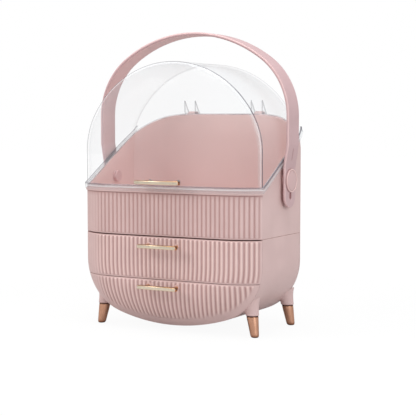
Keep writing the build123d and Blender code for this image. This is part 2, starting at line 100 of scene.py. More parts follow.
def distance_inside(x, z):
    """How far a point of the front view lies inside the outline."""
    x = np.abs(x)
    inside = half_width - x
    for way, level, corner, radius, turn, end in (bowl_end, arch_end):
        over = way * (z - level)
        out = x - (half_width - corner)
        in_corner = corner - np.hypot(out, over)
        in_long = radius - np.hypot(x, z - (end - way * radius))
        past = np.arctan2(over, out) > turn
        inside = np.where(over > 0, np.where(past, in_long, in_corner), inside)
    return inside


def pillow_depth(inside, inset, crease):
    """Depth of a face that rounds over to a crease: flat, then an arc tangent to it."""
    radius = (shoulder**2 + crease**2) / (2 * crease)
    across = np.clip(shoulder - inside, 0, shoulder - inset)
    return radius - np.sqrt((radius - inset) ** 2 - across**2)


def parting_height(y):
    """Height of the tray's edge: level, then two slopes, with the first corner eased."""
    knots = np.array(parting_points)
    near = [np.interp(np.asarray(y) + shift, knots[:, 0], knots[:, 1]) for shift in (-5, 0, 5)]
    return (near[0] + 2 * near[1] + near[2]) / 4


# ---- mesh making ----
class Piece:
    """Collects grids of points, and makes them one closed mesh on a body of the frame."""

    def __init__(self, name):
        self.name = name
        self.points, self.faces, self.marks, self.count = [], [], [], 0

    def grid(self, points, close_rows=False, close_columns=False, mark=0.0):
        """Adds rows of points, the faces between them, and a mark for each point: painted shade
        above 0, a painted highlight or painted light below 0.
        """
        points = np.asarray(points, float)
        shape = points.shape[:2]
        index = self.count + np.arange(shape[0] * shape[1]).reshape(shape)
        self.points.append(points.reshape(-1, 3))
        self.marks.append(np.broadcast_to(mark, shape).reshape(-1))
        self.count += index.size
        if close_rows:
            index = np.vstack([index, index[:1]])
        if close_columns:
            index = np.hstack([index, index[:, :1]])
        corners = index[:-1, :-1], index[:-1, 1:], index[1:, 1:], index[1:, :-1]
        self.faces.append(np.stack(corners, axis=-1).reshape(-1, 4))

    def halves(self, *grids, close_columns=False):
        """Grids with their marks, and the same on the other side of the middle plane."""
        for way in (1.0, -1.0):
            for points, mark in grids:
                self.grid(points * np.array([way, 1.0, 1.0]), False, close_columns, mark)

    def make(self, finish, body, replaces=(), angle=34.0, merge=0.012):
        """The mesh: seams merged, faces turned outwards, edges above the angle left sharp."""
        mesh = bpy.data.meshes.new(self.name)
        points = np.vstack(self.points) * MM
        faces = np.vstack(self.faces)
        mesh.from_pydata(points.tolist(), [], faces.tolist())
        mark = mesh.attributes.new("mark", "FLOAT", "POINT")
        mark.data.foreach_set("value", np.concatenate(self.marks).astype(np.float32))
        tidy = bmesh.new()
        tidy.from_mesh(mesh)
        bmesh.ops.remove_doubles(tidy, verts=tidy.verts, dist=merge * MM)
        bmesh.ops.dissolve_degenerate(tidy, edges=tidy.edges, dist=merge * MM)
        bmesh.ops.recalc_face_normals(tidy, faces=tidy.faces)
        tidy.to_mesh(mesh)
        tidy.free()
        mesh.shade_smooth()
        mesh.set_sharp_from_angle(angle=radians(angle))
        mesh.materials.append(finish.material)
        item = bpy.data.objects.new(self.name, mesh)
        scene.collection.objects.link(item)
        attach(item, body)
        if replaces:
            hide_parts(*replaces)


# ---- finishes ----
def operator(operation, swap=False):
    """A method that adds one Math node, with its two inputs swapped if asked."""

    def method(self, other):
        first, second = (other, self) if swap else (self, other)
        return self.graph.node("ShaderNodeMath", {"operation": operation}, first, second)

    return method


class Wire:
    """A socket of a node tree. Arithmetic on it adds Math nodes."""

    def __init__(self, graph, socket):
        self.graph = graph
        self.socket = socket

    __add__ = __radd__ = operator("ADD")
    __mul__ = __rmul__ = operator("MULTIPLY")
    __sub__, __rsub__ = operator("SUBTRACT"), operator("SUBTRACT", True)
    __truediv__, __rtruediv__ = operator("DIVIDE"), operator("DIVIDE", True)
    __pow__, __rpow__ = operator("POWER"), operator("POWER", True)
    at_least, at_most = operator("MAXIMUM"), operator("MINIMUM")

    def clamped(self, low=0.0, high=1.0):
        return self.at_least(low).at_most(high)

    def smooth(self, low, high):
        """Rises from 0 to 1 between two values, with eased ends."""
        settings = {"interpolation_type": "SMOOTHSTEP"}
        return self.graph.node("ShaderNodeMapRange", settings, self, low, high, 0.0, 1.0)


class Graph:
    """A node tree, with one method that makes any node."""

    def __init__(self, tree):
        self.tree = tree

    def node(self, kind, settings, *values, out=0, **named):
        node = self.tree.nodes.new(kind)
        for key, value in settings.items():
            setattr(node, key, value)
        for key, value in [*enumerate(values), *named.items()]:
            name = key.replace("_", " ") if isinstance(key, str) else key
            self.plug(node.inputs[name], value)
        return Wire(self, node.outputs[out])

    def plug(self, socket, value):
        if isinstance(value, Wire):
            self.tree.links.new(value.socket, socket)
        else:
            socket.default_value = value


class Finish(Graph):
    """One material: a Principled shader, and the nodes that feed it."""

    def __init__(self, name, slot, **constants):
        self.slot = slot
        self.material = bpy.data.materials.new(name)
        self.material.use_nodes = True
        super().__init__(self.material.node_tree)
        self.shader = self.tree.nodes["Principled BSDF"]
        for key, value in constants.items():
            self.shader.inputs[key.replace("_", " ")].default_value = value

    def feed(self, **sockets):
        for key, value in sockets.items():
            self.plug(self.shader.inputs[key.replace("_", " ")], value)

    def noise(self, size, detail=3.0, roughness=0.5, stretch=(1, 1, 1)):
        """Noise from 0 to 1 whose grains are about one size across, by object coordinates."""
        where = self.node("ShaderNodeTexCoord", {}, out="Object")
        factor = [1000.0 * (1.0 / size) * s for s in stretch]
        where = self.node("ShaderNodeVectorMath", {"operation": "MULTIPLY"}, where, factor)
        return self.node("ShaderNodeTexNoise", {}, Vector=where, Scale=1.0, Detail=detail,
                         Roughness=roughness)

    def mixed(self, factor, first, second):
        """One colour going over into another."""
        node = self.tree.nodes.new("ShaderNodeMix")
        node.data_type = "RGBA"
        self.plug(node.inputs[0], factor)
        self.plug(node.inputs[6], first if isinstance(first, Wire) else (*first, 1.0))
        self.plug(node.inputs[7], second if isinstance(second, Wire) else (*second, 1.0))
        return Wire(self, node.outputs[2])

    def bumped(self, height, strength, distance):
        distance = distance * MM
        return self.node("ShaderNodeBump", {}, Strength=strength, Distance=distance, Height=height)

    # the mark attribute: painted shade above 0, painted highlight or painted light below 0
    def mark(self):
        return self.node("ShaderNodeAttribute", {"attribute_name": "mark"}, out="Fac")


def linear(colour, shift=0):
    """A display colour, 0 to 255, shifted and held under 255, as scene-linear values."""
    values = np.minimum(np.add(colour, shift), 255) / 255.0
    return tuple(np.where(values > 0.04045, ((values + 0.055) / 1.055) ** 2.4, values / 12.92))


def moulded_pink(name, slot, colour, gloss):
    """Dusty rose moulded plastic: faint flow marks, a fine satin grain, painted shade where the
    mark is above 0 and a painted highlight where it is below 0.
    """
    finish = Finish(name, slot, IOR=1.47)
    cloud = finish.noise(46.0, detail=2.0)
    grain = finish.noise(0.55, detail=2.0)
    flow = finish.noise(9.0, detail=3.0, stretch=(1.0, 1.0, 0.25))
    light = finish.mixed(cloud.smooth(0.3, 0.7), linear(colour, -3), linear(colour, 3))
    # painted shade and painted highlight colours, laid on by the mark
    shade_colour = linear(colour, (-56, -76, -78))
    highlight_colour = linear(colour, (26, 26, 22))
    painted_light = finish.mark()
    with_highlight = finish.mixed((painted_light * -1.0).clamped(), light, highlight_colour)
    finish.feed(
        Base_Color=finish.mixed(painted_light.clamped(), with_highlight, shade_colour),
        Roughness=(gloss + (flow - 0.5) * 0.12 + (grain - 0.5) * 0.06).clamped(0.05, 0.95),
        Normal=finish.bumped(grain * 0.5 + flow * 0.5, 0.12, 0.08),
    )
    return finish


pink = moulded_pink("dusty_rose_plastic", "pink_body", (218, 186, 183), 0.42)
# the handle's copy is darker than the body's pink: painted shade, for how the light falls on the
# handle
pink_strap = moulded_pink("dusty_rose_handle", "pink_handle", (205, 170, 172), 0.36)
pink_button = moulded_pink("dusty_rose_knob", "pink_knob", (214, 178, 177), 0.30)


def clear_plastic():
    """Clear styrene: nearly gone face on and milky where seen edge on, with a faint painted glow.

    Its edges show as painted grey shade lines where the mark is above 0, and painted white
    highlights where it is below.
    """
    # the faint emission is a painted glow that lightens the whole lid
    finish = Finish("clear_styrene", "clear_lid", IOR=1.49, Roughness=0.06, Emission_Strength=0.06)
    mark = finish.mark()
    dark = mark.clamped()
    white = (mark * -1.0).clamped()
    facing = finish.node("ShaderNodeLayerWeight", {}, 0.35, out="Facing")
    haze = finish.noise(60.0, detail=1.0)
    veil = 0.035 + haze * 0.012 + facing**3.0 * 0.34
    pale = finish.mixed(white, linear((212, 217, 223)), linear((255, 255, 255)))
    colour = finish.mixed(dark.smooth(0.0, 0.5), pale, linear((96, 93, 103)))
    finish.feed(
        Base_Color=colour,
        Emission_Color=colour,
        Alpha=(veil + dark * 0.86 + white * 0.70).clamped(0.0, 0.95),
    )
    return finish


clear = clear_plastic()


def satin_metal(name, slot, colour, amber, rough, brushed):
    """Plated metal, brushed along one direction, with faint wear in its gloss.

    Where the mark rises from 0 it goes over to amber, then dark, as painted shade. Below 0 it is a
    nearly white painted highlight.
    """
    finish = Finish(name, slot, Metallic=1.0)
    lines = finish.noise(0.9, detail=4.0, roughness=0.6, stretch=brushed)
    cloud = finish.noise(14.0, detail=2.0)
    plain = finish.mixed(cloud.smooth(0.25, 0.75), linear(colour, -6), linear(colour, 6))
    painted_light = finish.mark()
    # a painted highlight below 0, then painted shade in amber and dark above 0
    highlit = finish.mixed((painted_light * -1.0).clamped(), plain, linear((255, 250, 238)))
    half_shaded = finish.mixed(painted_light.smooth(0.0, 0.4), highlit, linear(amber))
    dark = linear(np.multiply(colour, 0.45))
    finish.feed(
        Base_Color=finish.mixed(painted_light.smooth(0.5, 1.0), half_shaded, dark),
        Roughness=(rough + (lines - 0.5) * 0.22 + (cloud - 0.5) * 0.08).clamped(0.08, 0.8),
        Normal=finish.bumped(lines, 0.10, 0.05),
    )
    return finish


gold = satin_metal(
    "champagne_gold", "gold_bar", (236, 212, 180), (222, 160, 92), 0.28, (0.04, 1, 1))
copper = satin_metal(
    "rose_gold", "copper_tip", (217, 164, 136), (186, 132, 106), 0.34, (1, 1, 0.05))
steel = satin_metal(
    "zinc_plate", "steel", (176, 178, 182), (150, 150, 152), 0.32, (0.2, 1, 1))

# ---- columns round a level section ----
pillow_radius = (shoulder**2 + front_crease**2) / (2 * front_crease)
face_flat = half_width - shoulder
rib_width = rib_pitch - rib_gap
rib_steps = np.linspace(-1, 1, 13)
# painted shade in the rib grooves and a painted highlight on their crests
groove_shade, crest_highlight = 0.62, 0.85
rib_round = 2.2


def front_columns():
    """Share of the half width and rib height of each column over the front, from left to right.

    Positions are arc lengths along the front section, turned into X on the flat and the arc.
    """
    centres = (np.arange(rib_count) - (rib_count - 1) / 2) * rib_pitch
    along = (centres[:, None] + rib_steps * rib_width / 2).ravel()
    height = np.tile(np.cos(pi / 2 * rib_steps) ** 1.2, rib_count)
    half_length = face_flat + pillow_radius * asin(shoulder / pillow_radius)
    ends = np.array([half_length, half_length - 0.5, half_length - 1.6])
    along = np.concatenate([-ends, along, ends[::-1]])
    height = np.concatenate([np.zeros(3), height, np.zeros(3)])
    bend = np.maximum(np.abs(along) - face_flat, 0) / pillow_radius
    x = np.sign(along) * (np.minimum(np.abs(along), face_flat) + pillow_radius * np.sin(bend))
    share = x / half_width
    share[0], share[-1] = -1.0, 1.0
    return share, height


front_share, rib_shape = front_columns()
# The ribs run out over the left shoulder.
left_fade = np.clip((front_share * half_width + 108) / 22, 0, 1)
left_fade = left_fade**2 * (3 - 2 * left_fade)
rib_height = rib_proud * (rib_shape * (0.2 + 0.8 * left_fade))
side_share = (1 - np.cos(np.linspace(0, pi, 12)[1:-1])) / 2
back_share = np.sin(np.linspace(pi / 2, -pi / 2, 61))


def front_surface(share, z, inset, rise):
    """Points of the front, at shares of the half width, raised square to the face."""
    return raised_face(share * half_width_at(z, inset), z, inset, rise)


def raised_face(x, z, inset, rise):
    """Points of the front at each X and Z, raised square to the face.

    The face is the depth of the pillow over X and Z, and its slope gives the normal.
    """
    step = 0.05

    def depth_at(x, z):
        return pillow_depth(distance_inside(x, z), inset, front_crease)

    depth = depth_at(x, z)
    slope_x = (depth_at(x + step, z) - depth_at(x - step, z)) / (2 * step)
    slope_z = (depth_at(x, z + step) - depth_at(x, z - step)) / (2 * step)
    size = np.sqrt(slope_x**2 + slope_z**2 + 1)
    return np.stack(
        [x + rise * slope_x / size, front_y + depth - rise / size, z + rise * slope_z / size],
        axis=-1,
    )


def back_surface(share, z, inset):
    """Points of the back, at shares of the half width."""
    x = share * half_width_at(z, inset)
    depth = pillow_depth(distance_inside(x, z), inset, back_crease)
    return np.stack([x, back_y - depth, z + 0 * x], axis=-1)


def crease_y(inset, crease):
    """Depth of a crease from its own face, for a form moved inwards."""
    return float(pillow_depth(np.array(inset), inset, crease))


def level_ring(z, inset, rise=0.0):
    """Closed rings round the body: front, right side, back and left side, one row a height."""

    def side(way, y, z):
        return np.stack([way * half_width_at(z, inset), y + 0 * z, z], axis=-1)

    counts = [len(front_share), len(side_share), len(back_share)]
    front_z, right_z, back_z, left_z = np.split(z, np.cumsum(counts), axis=1)
    y_front = front_y + crease_y(inset, front_crease)
    y_back = back_y - crease_y(inset, back_crease)
    right_y = y_front + (y_back - y_front) * side_share
    front_part = front_surface(front_share, front_z, inset, rise)
    back_part = back_surface(back_share, back_z, inset)
    parts = [front_part, side(1, right_y, right_z), back_part, side(-1, right_y[::-1], left_z)]
    return np.concatenate(parts, axis=1)


ring_size = len(front_share) + 2 * len(side_share) + len(back_share)


def ring_tops(inset, lift):
    """Height where each column of a ring meets the tray's edge, found by repeated steps."""
    z = np.full((1, ring_size), 200.0)
    for _ in range(60):
        y = level_ring(z, inset)[:, :, 1]
        z = 0.5 * z + 0.5 * (parting_height(y) + lift)
    return z[0]


def rounded(share):
    """A quarter circle: 0 at the end of a form, 1 where its rounding is over."""
    return np.sqrt(1 - (1 - np.clip(share, 0, 1)) ** 2)


def rib_rise(z, low, high):
    """Height of the ribs over the face: round across, and rounded off at both ends."""
    front_z = z[:, : len(front_share)]
    return rib_height * rounded(np.minimum(front_z - low, high - front_z) / rib_round)


def rib_painted_light(within):
    """Painted light on the ribs: painted shade above 0 in the grooves, a painted highlight below 0
    on the crests, 0 outside them.

    The painted shade of the grooves fades out over the left shoulder, where the key light falls on
    them.
    """
    groove = groove_shade * (1 - rib_shape) ** 1.3 - crest_highlight * rib_shape**5
    groove = groove * (0.08 + 0.92 * left_fade)
    return np.where(np.abs(front_share) > 0.985, 0, groove)[None, :] * within


# ---- top tray ----
band_low, band_high, band_proud = 171.6, 175.3, 1.5
tray_rib_low, tray_rib_high = tray_seam + rib_margin, band_low
tray_floor = tray_seam + 2.5


def build_tray():
    """The tray: an outer ring with ribs and a plain band, its edge, the inside and a floor."""
    piece = Piece("tray_body")
    low_rows = np.concatenate([
        tray_seam + np.array([0.0, 0.15, 0.5, 1.2]),
        tray_rib_low + np.array([0.0, 0.25, 0.7, 1.3, 2.2, 6.0]),
        np.linspace(tray_rib_low + 12, tray_rib_high - 12, 5),
        tray_rib_high + np.array([-6.0, -2.2, -1.0, -0.3, 0.0]),
        np.array([band_low + 0.05, band_low + 0.5, band_high - 0.5, band_high]),
    ])
    shares = np.array([0.15, 0.35, 0.55, 0.75, 0.9, 1.0])
    end_level = band_high + 0.4
    z_low = np.broadcast_to(low_rows[:, None], (len(low_rows), ring_size))
    z_high = end_level + (ring_tops(0, 0)[None, :] - 0.5 - end_level) * shares[:, None]
    z = np.vstack([z_low, z_high])
    front_z = z[:, : len(front_share)]
    ribs = rib_rise(z, tray_rib_low, tray_rib_high)
    band = band_proud * rounded(np.minimum(front_z - band_low, band_high - front_z) / 0.5)
    outer = level_ring(z, 0, np.maximum(ribs, band))
    # the lowest edge is eased inwards
    outer[0] = level_ring(z[:1], 0.45)[0]
    outer[1] = level_ring(z[1:2], 0.12)[0]
    # the grooves get painted shade, most of all under the band that shades them, and a painted
    # shade line runs along the lowest edge at the seam
    below_band = front_z < band_low + 0.3
    in_ribs = (front_z > tray_rib_low) & (front_z < tray_rib_high)
    under_band = np.clip(1 - (band_low - front_z) / 4.5, 0, 1) ** 2 * below_band
    mark = np.maximum(rib_painted_light(in_ribs), 0.75 * under_band) * below_band
    mark = np.pad(mark, ((0, 0), (0, ring_size - len(front_share))))
    mark[:2] = 0.9
    # a row of painted highlight on the sides, just above the seam
    mark[2, len(front_share) :] = -0.5
    rows = [outer]
    for inset, drop in ((0.15, 0.15), (0.5, 0.0), (wall - 0.5, 0.0), (wall - 0.15, 0.15)):
        rows.append(level_ring(ring_tops(inset, -drop)[None, :], inset))
    falls = np.array([1.0, 0.8, 0.6, 0.4, 0.2, 0.08])
    low = tray_floor + 3.0
    rows.append(level_ring(low + (ring_tops(wall, -0.5)[None, :] - low) * falls[:, None], wall))
    for inset, height in ((wall, 3.0), (wall + 0.4, 1.5), (wall + 1.5, 0.4), (wall + 3.0, 0.0)):
        rows.append(level_ring(np.full((1, ring_size), tray_floor + height), inset))
    ring = rows[-1][0]
    middle = np.array([0.0, (front_y + back_y) / 2, tray_floor])
    for share in (0.8, 0.5, 0.2, 0.0):
        rows.append((middle + (ring - middle) * share)[None])
    middle = np.array([0.0, (front_y + back_y) / 2, tray_seam])
    bottom = [(middle + (outer[0] - middle) * share)[None] for share in (0, 0.4, 0.8)]
    grid = np.concatenate([*bottom, *rows])
    marks = np.zeros(grid.shape[:2])
    inside = len(bottom) + len(mark) + 4
    marks[len(bottom) : inside - 4] = mark
    # painted light: the inside wall is made lighter
    marks[inside : inside + len(falls)] = -0.3
    piece.grid(grid, close_columns=True, mark=marks)
    for way in (-1, 1):
        lug = rounded_plate(lug_profile(), way * hinge_x - 6.0, way * hinge_x + 6.0, 0.5)
        piece.grid(lug, close_columns=True)
    piece.make(pink, "base", ["top_tray"])


def rounded_plate(profile, x_low, x_high, edge):
    """A flat plate: an outline in Y and Z, drawn in at both faces for a rounded edge."""
    profile = np.asarray(profile, float)
    middle = profile.mean(axis=0)
    ahead = np.roll(profile, -1, axis=0) - np.roll(profile, 1, axis=0)
    normal = np.stack([ahead[:, 1], -ahead[:, 0]], axis=1)
    normal /= np.linalg.norm(normal, axis=1)[:, None]
    if ((profile - middle) * normal).sum() < 0:
        normal = -normal
    rows = []
    for x, draw in (
        (x_low, None),
        (x_low, edge),
        (x_low + 0.3 * edge, 0.3 * edge),
        (x_low + edge, 0.0),
        (x_high - edge, 0.0),
        (x_high - 0.3 * edge, 0.3 * edge),
        (x_high, edge),
        (x_high, None),
    ):
        flat = np.broadcast_to(middle, profile.shape) if draw is None else profile - normal * draw
        rows.append(np.column_stack([np.full(len(profile), x), flat]))
    return np.array(rows)


def arc_points(centre, radius, start, stop, count):
    """Points along an arc, angles in degrees."""
    return arc_at(centre, radius, np.radians(np.linspace(start, stop, count)))


def arc_at(centre, radius, angle):
    """Points of a circle at angles in radians."""
    return np.stack([centre[0] + radius * np.cos(angle), centre[1] + radius * np.sin(angle)], 1)


def lug_profile():
    """The tray's hinge lug in Y and Z: round at the axis, running out on the back panel."""
    nose = arc_points((hinge_y, hinge_z), 6.0, 90, -52, 22)
    top = [(back_y - 1.2, hinge_z + 0.5), (back_y + 1.0, hinge_z + 3.2)]
    return np.vstack([top, nose, [(back_y - 1.2, hinge_z - 20.0)]])


# ---- drawers ----
upper_low, upper_high = drawer_seam + seam_gap / 2, tray_seam - 2 * seam_gap
lower_high = drawer_seam - seam_gap / 2
bowl_rib_top = lower_high - rib_margin


def level_x(z, inset):
    """X of the ribs' columns where they run straight up."""
    return front_share * half_width_at(z, inset)


def bowl_x(z, inset):
    """X of the columns on the bowl: drawn in by the way down, squared, kept in the outline."""
    fallen = np.clip((bowl_rib_top - z) / (bowl_rib_top - bowl_low), 0, 1)
    width = half_width_at(z, inset)
    drawn = front_share * (half_width - inset) * (1 - rib_draw * fallen**2)
    drawn = np.clip(drawn, -width, width)
    return np.where(np.abs(front_share) == 1, front_share * width, drawn)


def front_cap(piece, low, high, seam_shade, foot=None):
    """A drawer's front: the ribbed face, its eased edges and its inside, down to the crease.

    With a foot the face is the bowl: its ribs end that far above the outline, and its rows are
    even steps of the bowl's half width, then of height.
    """
    rib_low, rib_high = low + rib_margin, high - rib_margin
    if foot is None:
        place = level_x
        rows = [low + np.array([0.0, 0.15, 0.5, 0.9])]
        rows.append(rib_low + np.array([0.0, 0.25, 0.7, 1.3, 2.2, 5.0]))
        rows.append(np.linspace(rib_low + 10, rib_high - 8, 6))
    else:
        place = bowl_x
        wide = np.linspace(0, 0.99 * bowl_radius * cos(bowl_turn), 24)
        rows = [bowl_low + bowl_radius - np.sqrt(bowl_radius**2 - wide**2)]
        rows.append(np.linspace(rows[0][-1], rib_high - 5, 12)[1:-1])
    rows.append(rib_high + np.array([-5.0, -2.2, -1.3, -0.7, -0.25, 0.0]))
    rows.append(high - np.array([0.9, 0.5, 0.15, 0.0]))
    levels = np.concatenate(rows)
    z = np.broadcast_to(levels[:, None], (len(levels), len(front_share)))
    eased_rows = [(-1, 0.55), (-2, 0.15)]
    if foot is None:
        ribs = rib_rise(z, rib_low, rib_high)
        mark = rib_painted_light((z > rib_low) & (z < rib_high))
        eased_rows += [(0, 0.45), (1, 0.12)]
    else:
        room = distance_inside(bowl_x(z, 0), z - foot) - 0.6
        end = np.clip(np.minimum(room, rib_high - z) / rib_round, 0, 1)
        ribs = rib_height * rounded(end)
        mark = rib_painted_light(end > 0) * (0.5 + 0.5 * end)
    outer = raised_face(place(z, 0), z, 0, ribs)
    for row, inset in eased_rows:
        outer[row] = raised_face(place(z[row], inset), z[row], inset, 0)
    # painted shade along the top seam, and a row of painted highlight just under it
    mark[-2:] = seam_shade
    mark[-4] = -0.35
    inner_z = np.maximum(z, bowl_low + wall + 0.001)
    inner = raised_face(place(inner_z, wall), inner_z, wall, 0)
    # both skins reach back to the crease plane of the outer one
    ends = inner[:, [0, -1]].copy()
    ends[:, :, 1] = front_y + front_crease
    inner = np.concatenate([ends[:, :1], inner, ends[:, 1:]], axis=1)
    outer = np.concatenate([outer[:, :1], outer, outer[:, -1:]], axis=1)
    # the two skins, and the strips that join their four borders
    piece.grid(outer, mark=np.pad(mark, ((0, 0), (1, 1))))
    piece.grid(inner)
    piece.grid(np.stack([outer[0], inner[0]]))
    piece.grid(np.stack([outer[-1], inner[-1]]))
    piece.grid(np.stack([outer[:, 0], inner[:, 0]], axis=1))
    piece.grid(np.stack([outer[:, -1], inner[:, -1]], axis=1))


# Distances from a crease, or from the tray's edge, at which a skin has its first points.
crease_steps = (0.0, 0.45, 1.0, 1.7, 2.6)


# ---- the outline as a path, for skins that follow it ----
def outline_path(upward, samples=1500):
    """Points and outward normals from the middle of the side to the top or bottom middle.

    A straight run, a corner arc and half of the long arc, spaced evenly along their length.
    """
    way, brk, corner, radius, turn, end = arch_end if upward else bowl_end
    level = 100.0 if upward else 200.0
    straight = abs(brk - level)
    bend = corner * turn
    total = straight + bend + radius * (pi / 2 - turn)
    along = np.linspace(0, total, samples)
    past = along - straight
    runs = [past >= bend, past >= 0]
    angle = np.select(runs, [turn + (past - bend) / radius, past / corner], 0.0)
    out, up = np.cos(angle), way * np.sin(angle)
    side_x = half_width - corner
    x = np.select(runs, [radius * out, side_x + corner * out], half_width)
    low_z = end - way * radius
    z = np.select(runs, [low_z + radius * up, brk + corner * up], level + way * along)
    return along, np.stack([x, z], axis=1), np.stack([out, up], axis=1)


def half_skin(columns, start, share, upward):
    """The right half of a skin. Each column has an inset and a depth, and starts at a height.

    A column is the outline moved inwards by the column's inset, with a point at each share of
    the way from its starting height to the middle plane.
    """
    along, points, normals = outline_path(upward)
    way = 1 if upward else -1
    grid = []
    for (inset, y), height in zip(columns, start):
        z = points[:, 1] - inset * normals[:, 1]
        first = np.interp(way * height, way * z, along)
        place = first + (along[-1] - first) * share
        x_path = np.interp(place, along, points[:, 0] - inset * normals[:, 0])
        z_path = np.interp(place, along, z)
        x_path[-1] = 0.0
        z_path[0] = height
        grid.append(np.stack([x_path, np.full(len(share), y), z_path], axis=1))
    return np.stack(grid, axis=1)


def to_middle(column, steps):
    """Level runs from a column to the middle plane, on a flat face."""
    return np.stack([column * np.array([1 - s, 1, 1]) for s in steps], axis=1)


def pillow_columns(inset, crease, face, side, count):
    """Inset and depth of the columns over a rounded face, from the crease to the flat."""
    radius = (shoulder**2 + crease**2) / (2 * crease)
    widest = asin((shoulder - inset) / (radius - inset))
    near = widest - np.array(crease_steps) / radius
    angle = np.concatenate([near, np.linspace(near[-1], 0, count - len(near) + 1)[1:]])
    across = shoulder - (radius - inset) * np.sin(angle)
    depth = radius - (radius - inset) * np.cos(angle)
    return [(s, face + side * d) for s, d in zip(across, depth)]


# ---- lid ----
lip_proud, lip_clear, lip_drop, lip_rise, lip_tail, lid_gap = 3.0, 0.5, 4.0, 3.4, 134.0, 0.4


def lid_skin(inset, lift):
    """One skin of the lid's right half, from the middle of the front to the middle of the back.

    The rows crowd at the tray's edge and the columns at both creases, where lines are drawn.
    """
    front = pillow_columns(inset, front_crease, front_y, 1, 18)[::-1]
    back = pillow_columns(inset, back_crease, back_y, -1, 18)
    y_front, y_back = front[-1][1], back[0][1]
    ends = np.array(crease_steps[1:])
    across = np.linspace(y_front + 9, y_back - 9, 10)
    side_y = np.concatenate([y_front + ends, across, (y_back - ends)[::-1]])
    columns = front + [(inset, y) for y in side_y] + back
    start = [float(parting_height(np.array(y)) + lift) for _, y in columns]
    spacing = np.concatenate([np.array(crease_steps) * 0.004, np.linspace(0.03, 1, 56)])
    grid = half_skin(columns, start, spacing, True)
    steps = [1.0, 0.66, 0.33]
    before, after = to_middle(grid[:, 0], steps), to_middle(grid[:, -1], steps[::-1])
    skin = np.concatenate([before, grid, after], axis=1)
    return skin, len(steps) + len(front) - 1, skin.shape[1] - len(steps) - len(back)


def lid_lines(shape, front, back):
    """Painted lines along the lid's creases and its lower edge: painted shade above 0, painted
    highlight below 0.
    """
    mark = np.zeros(shape)
    for column, strength in ((back, 0.3), (front, 1.0)):
        for step, line in zip((-4, -3, -2, -1, 0, 1, 2), (-0.4, -0.7, 0.2, 0.9, 1.0, 0.9, 0.3)):
            mark[:, column + step] = line * strength
    for row, line in enumerate((0.3, -0.7, -0.8, 0.6)):
        mark[row] = line
    return mark


def build_lid():
    """The clear lid: two skins, a rim that stands out along the lower edge, and hinge ears."""
    piece = Piece("lid_clear")
    outer, front, back = lid_skin(0.0, lid_gap)
    inner = lid_skin(wall, lid_gap)[0]
    lines = lid_lines(outer.shape[:2], front, back)
    strip = np.stack([outer[0], inner[0]])
    # the strip along the lower edge gets a faint painted shade line
    piece.halves((outer, lines), (inner, 0), (strip, 0.3))
    piece.make(clear, "lid", ["lid"], merge=0.02)
    rim = Piece("lid_rim")
    grid = np.array([rim_row(inset, lift) for inset, lift, _ in rim_section])
    ends = [end.mean(axis=0)[None, None].repeat(len(grid), 0) for end in (grid[:, 0], grid[:, -1])]
    grid = np.concatenate([ends[0], grid, ends[1]], axis=1)
    rim.grid(grid, close_rows=True, mark=np.array([[line] for *_, line in rim_section]))
    rim.make(clear, "lid")
    ears = Piece("lid_ears")
    # painted shade lines on the ears' flat faces
    lines = np.array([0.0, 0.05, 0.25, 0.4, 0.4, 0.25, 0.05, 0.0])[:, None]
    for way in (-1, 1):
        for side in (-1, 1):
            x = way * hinge_x + side * 8.0
            plate = rounded_plate(ear_profile(), x - 1.0, x + 1.0, 0.3)
            ears.grid(plate, close_columns=True, mark=lines)
    ears.make(clear, "lid")


# The rim's section: inset from the body, height over the tray's edge, and the line drawn there:
# painted shade above 0, painted highlight below 0.
rim_section = (
    (-lip_clear, -lip_drop, 0.1), (-lip_proud + 0.5, -lip_drop, 0.15),
    (-lip_proud, -lip_drop + 0.5, 0.2), (-lip_proud, -lip_drop + 1.1, 0.05),
    (-lip_proud, -0.8, 0.1), (-lip_proud, -0.3, -0.7), (-lip_proud, 0.5, -0.7),
    (-lip_proud, 0.9, 0.2), (-lip_proud, 2.2, 0.3), (-lip_proud, lip_rise - 0.7, 0.5),
    (-lip_proud + 0.4, lip_rise, 1.0), (-lip_proud + 1.1, lip_rise, 1.0),
    (-lip_proud + 1.6, lip_rise, 0.1), (-0.02, lip_rise, 0.0), (-0.02, lid_gap, 0.0),
    (-lip_clear, lid_gap, 0.0),
)


def rim_row(inset, lift):
    """One edge of the rim, from the left side round the front to the right side.

    It runs at an inset from the body, at a height over the tray's edge.
    """
    y_front, y_end = front_y + crease_y(inset, front_crease), front_y + lip_tail
    left_y = y_end + (y_front - y_end) * np.linspace(0, 1, 30)[:-1]
    left_z = parting_height(left_y) + lift
    left = np.stack([-half_width_at(left_z, inset), left_y, left_z], axis=1)
    share = np.sin(np.linspace(-pi / 2, pi / 2, 61))
    share[0], share[-1] = -1.0, 1.0
    z = np.full(len(share), parting_height(np.array(front_y)) + lift)
    middle = front_surface(share, z, inset, 0)
    return np.concatenate([left, middle, left[::-1] * np.array([-1, 1, 1])])


def ear_profile():
    """A hinge ear in Y and Z: a gusset that slopes from the back panel to round the pin."""
    nose = arc_points((hinge_y, hinge_z), 4.5, 42, -110, 20)
    under, over, inner = hinge_z + 3.0, hinge_z + 4.6, back_y - 1.0
    foot = [(back_y + 0.6, under), (back_y + 0.6, over), (inner, over)]
    return np.vstack([[(inner, hinge_z + 20.0)], nose, foot])


# ---- base shell ----
# Shares of the way down a skin at which it has points, close together under the tray's seam.
seam_rows = np.concatenate([[0.0, 0.0015, 0.004, 0.008], np.linspace(0.02, 1, 60)])


def side_and_back(inset, y_front, count, back, top, share):
    """Half a skin from its front end along the side, then over the back's columns."""
    run = np.linspace(0, 1, count)[:-1]
    columns = [(inset, y_front + (back[0][1] - y_front) * s) for s in run] + back
    grid = half_skin(columns, [top] * len(columns), share, False)
    return np.concatenate([grid, to_middle(grid[:, -1], [0.33, 0.66, 1.0])], axis=1)


